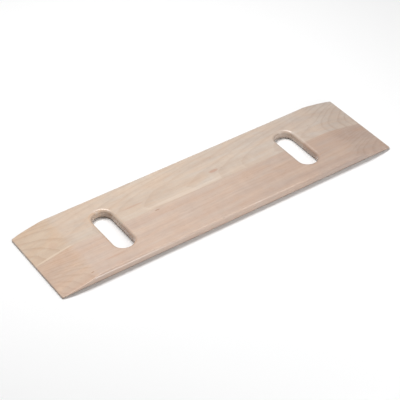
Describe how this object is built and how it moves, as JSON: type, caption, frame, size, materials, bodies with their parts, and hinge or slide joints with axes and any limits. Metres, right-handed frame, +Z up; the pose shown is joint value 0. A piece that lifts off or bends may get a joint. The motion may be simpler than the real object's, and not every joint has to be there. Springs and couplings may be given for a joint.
{
  "type": "transfer board",
  "caption": "Long narrow wooden board with thin tapered ends, rounded long edges and hand slots, laid as a bridge for sliding a seated person from one seat to another.",
  "frame": {"origin": "middle of the flat underside", "axes": "+X along the board, +Y across it from the front stave to the rear stave, +Z up out of the sliding face"},
  "size_m": [0.762, 0.2032, 0.0191],
  "materials": {
    "cream_maple": "clear satin lacquer",
    "pink_maple": "clear satin lacquer",
    "wood_glue": "cured wood glue"
  },
  "bodies": {
    "root": {"rear_stave": "cream_maple", "front_stave": "pink_maple", "glue_line": "wood_glue"}
  },
  "joints": []
}
